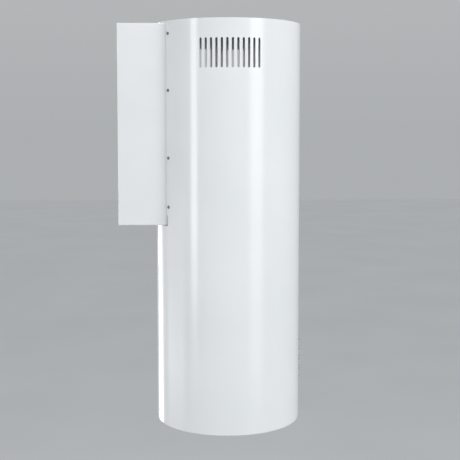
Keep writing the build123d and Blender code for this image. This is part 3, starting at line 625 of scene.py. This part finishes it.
def makeFilterLayer(name, z, turned, nodes):
    # expanded metal: a grid stood on its corners, trimmed to the sheet, and each cell opened
    f = filterMesh
    low, high = (Vector(corner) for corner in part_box("filter_mesh"))
    middle = (low + high) / 2
    half = (high - low) / 2
    deselectAll()
    bpy.ops.mesh.primitive_grid_add(
        x_subdivisions=f["gridCount"], y_subdivisions=f["gridCount"], size=f["gridCount"] * f["gridStep"])
    piece = bpy.context.object
    bpy.ops.object.mode_set(mode="EDIT")
    bpy.ops.mesh.select_all(action="SELECT")
    bpy.ops.transform.rotate(value=math.radians(45), orient_axis="Z", center_override=(0, 0, 0))
    wide, tall = (f["cellShort"], f["cellLong"]) if turned else (f["cellLong"], f["cellShort"])
    diagonal = f["gridStep"] * math.sqrt(2)
    bpy.ops.transform.resize(value=(wide / diagonal, tall / diagonal, 1), center_override=(0, 0, 0))
    for axis, reach in (((1, 0, 0), half.x), ((0, 1, 0), half.y)):
        for side in (-1, 1):
            bpy.ops.mesh.select_all(action="SELECT")
            away = Vector(axis) * side
            bpy.ops.mesh.bisect(plane_co=away * reach, plane_no=away, clear_outer=True)
    bpy.ops.mesh.select_all(action="SELECT")
    bpy.ops.mesh.inset(thickness=f["strand"] / 2, use_individual=True)
    bpy.ops.mesh.delete(type="FACE")
    bpy.ops.object.mode_set(mode="OBJECT")
    piece.location = (middle.x, middle.y, z)
    addModifier(piece, "SOLIDIFY", thickness=f["sheet"], offset=0.0)
    finishPiece(piece, name, "filter", nodes, "aluminium", 0)


meshLow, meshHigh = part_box("filter_mesh")
makeFilterLayer("filter_lower_layer", meshLow[2] + filterMesh["inside"], False, ["filter_mesh"])
makeFilterLayer("filter_upper_layer", meshHigh[2] - filterMesh["inside"], True, [])


studio = {
    "floorDrop": 1.7, "floorSize": 60.0,
    "horizon": "#C7CACC", "zenith": "#E9EBEC", "worldStrength": 0.73,
}


def makeFloor():
    made, tree, shader, place = startMaterial("matt_studio_floor")
    cloud = addNode(tree, noise, {"Vector": place, "Scale": 0.8})
    tone = addNode(tree, ramp, {"Fac": cloud.outputs["Fac"]})
    stops = [(0.3, toLinear("#D6D8DA")), (0.7, toLinear("#DADCDE"))]
    tree.links.new(setRamp(tone, stops), shader.inputs["Base Color"])
    shader.inputs["Roughness"].default_value = 0.9
    shader.inputs["Specular IOR Level"].default_value = 0.1
    deselectAll()
    spot = (0, drumY, drumLow - studio["floorDrop"])
    bpy.ops.mesh.primitive_plane_add(size=studio["floorSize"], location=spot)
    floor = bpy.context.object
    floor.name = "floor"
    floor.data.materials.append(made)


def makeWorld():
    # the room is a little lighter overhead than at the horizon
    world = bpy.data.worlds.new("studio")
    bpy.context.scene.world = world
    world.use_nodes = True
    tree = world.node_tree
    sky = addNode(tree, "ShaderNodeTexCoord").outputs["Generated"]
    up = addNode(tree, "ShaderNodeSeparateXYZ", {"Vector": sky})
    rise = addNode(tree, ramp, {"Fac": up.outputs["Z"]})
    stops = [(0.0, toLinear(studio["horizon"])), (0.6, toLinear(studio["zenith"]))]
    back = tree.nodes["Background"]
    tree.links.new(setRamp(rise, stops), back.inputs["Color"])
    back.inputs["Strength"].default_value = studio["worldStrength"]


# each soft box: degrees round the drum from the camera's side (positive towards the buttons),
# distance, width, lowest and highest point above the drum's lower edge, brightness, how far its
# sides fade, and the share of its brightness at points up its height
softBoxes = {
    "key_box": (42.5, 2.6, 1.20, -0.76, 2.1, 3.05, 0.22, [(0, 0), (0.05, 0.20), (0.28, 0.54), (0.66, 1)]),
    "fill_strip": (-54.5, 2.6, 0.52, -0.70, 1.9, 4.7, 0.08, [(0, 0), (0.13, 0.12), (0.38, 1)]),
    "rim_strip": (-141, 2.4, 0.62, -0.94, 1.6, 5.0, 0.10, [(0, 0), (0.08, 1)]),
    "rim_foot": (-130.5, 2.4, 0.36, -0.94, 0.60, 3.4, 0.20, [(0, 0), (0.12, 1), (0.5, 0.8), (1, 0)]),
    "low_fill": (-92, 2.6, 2.2, -0.92, 0.60, 1.8, 0.2, [(0, 0), (0.28, 1), (0.5, 0.7), (1, 0)]),
}


def makeSoftBox(name, turn, distance, width, low, high, brightness, sideFade, upwards):
    heading = math.radians(turn)
    # the camera's side is -X and the buttons' side is -Y
    spot = Vector((-math.cos(heading), -math.sin(heading), 0)) * distance
    spot += Vector((0, drumY, drumLow + (low + high) / 2))
    deselectAll()
    bpy.ops.object.light_add(type="AREA", location=spot)
    light = bpy.context.object
    light.name = name
    light.data.shape = "RECTANGLE"
    light.data.size = width
    light.data.size_y = high - low
    light.data.energy = brightness * math.pi * width * (high - low)
    light.rotation_mode = "QUATERNION"
    light.rotation_quaternion = (Vector((0, drumY, spot.z)) - spot).to_track_quat("-Z", "Y")
    light.visible_camera = False
    light.data.use_nodes = True
    tree = light.data.node_tree
    # 0 to 1 each way over the light
    onLight = addNode(tree, "ShaderNodeNewGeometry").outputs["Parametric"]
    across = addNode(tree, "ShaderNodeSeparateXYZ", {"Vector": onLight})
    side = addNode(tree, ramp, {"Fac": across.outputs["X"]})
    setRamp(side, [(0.0, grey(0)), (sideFade, grey(1)), (1 - sideFade, grey(1)), (1.0, grey(0))])
    foot = addNode(tree, ramp, {"Fac": across.outputs["Y"]})
    setRamp(foot, [(place, grey(share)) for place, share in upwards])
    both = addNode(tree, "ShaderNodeMath", operation="MULTIPLY")
    tree.links.new(side.outputs["Color"], both.inputs[0])
    tree.links.new(foot.outputs["Color"], both.inputs[1])
    tree.links.new(both.outputs["Value"], tree.nodes["Emission"].inputs["Strength"])


# plain square lights aimed at the drum: place, side and energy. The duct wash is a small one in
# the duct hole, inside the drum, that lightens what shows through the slots.
washAim = Vector((0, drumY, drumLow + 0.5))
washLights = {
    "top_wash": ((0, drumY, drumTop + 1.8), 1.2, 24.0),
    "duct_wash": ((0, drumY, drumTop - 0.008), 0.1, 0.12),
    "front_wash": ((-2.3, drumY - 2.0, drumLow + 1.3), 1.6, 26.0),
}


def makeWashLight(name, spot, side, energy):
    deselectAll()
    bpy.ops.object.light_add(type="AREA", location=spot)
    light = bpy.context.object
    light.name = name
    light.data.size = side
    light.data.energy = energy
    light.rotation_mode = "QUATERNION"
    light.rotation_quaternion = (washAim - Vector(spot)).to_track_quat("-Z", "Y")
    light.visible_camera = False
    light.visible_glossy = False


camera = {
    "lens": 74.9, "sensor": 36.0, "distance": 2.4867, "eyeHeight": 0.757, "downTilt": 0.0799,
    "turn": 0.0283, "aside": 0.0021, "shift": -0.0565, "farthest": 100,
}


def makeCamera():
    c = camera
    spot = Vector((-math.cos(c["turn"]), math.sin(c["turn"]), 0)) * c["distance"]
    spot += Vector((0, drumY, drumLow + c["eyeHeight"]))
    facing = -math.pi / 2 - c["turn"] - c["aside"]
    deselectAll()
    bpy.ops.object.camera_add(location=spot, rotation=(math.pi / 2 - c["downTilt"], 0, facing))
    made = bpy.context.object
    made.data.lens = c["lens"]
    made.data.sensor_width = c["sensor"]
    made.data.shift_y = c["shift"]
    made.data.clip_end = c["farthest"]
    bpy.context.scene.camera = made


makeFloor()
makeWorld()
for boxName, values in softBoxes.items():
    makeSoftBox(boxName, *values)
for lightName, values in washLights.items():
    makeWashLight(lightName, *values)
makeCamera()
bpy.context.scene.view_settings.view_transform = "Standard"
print("studio done")
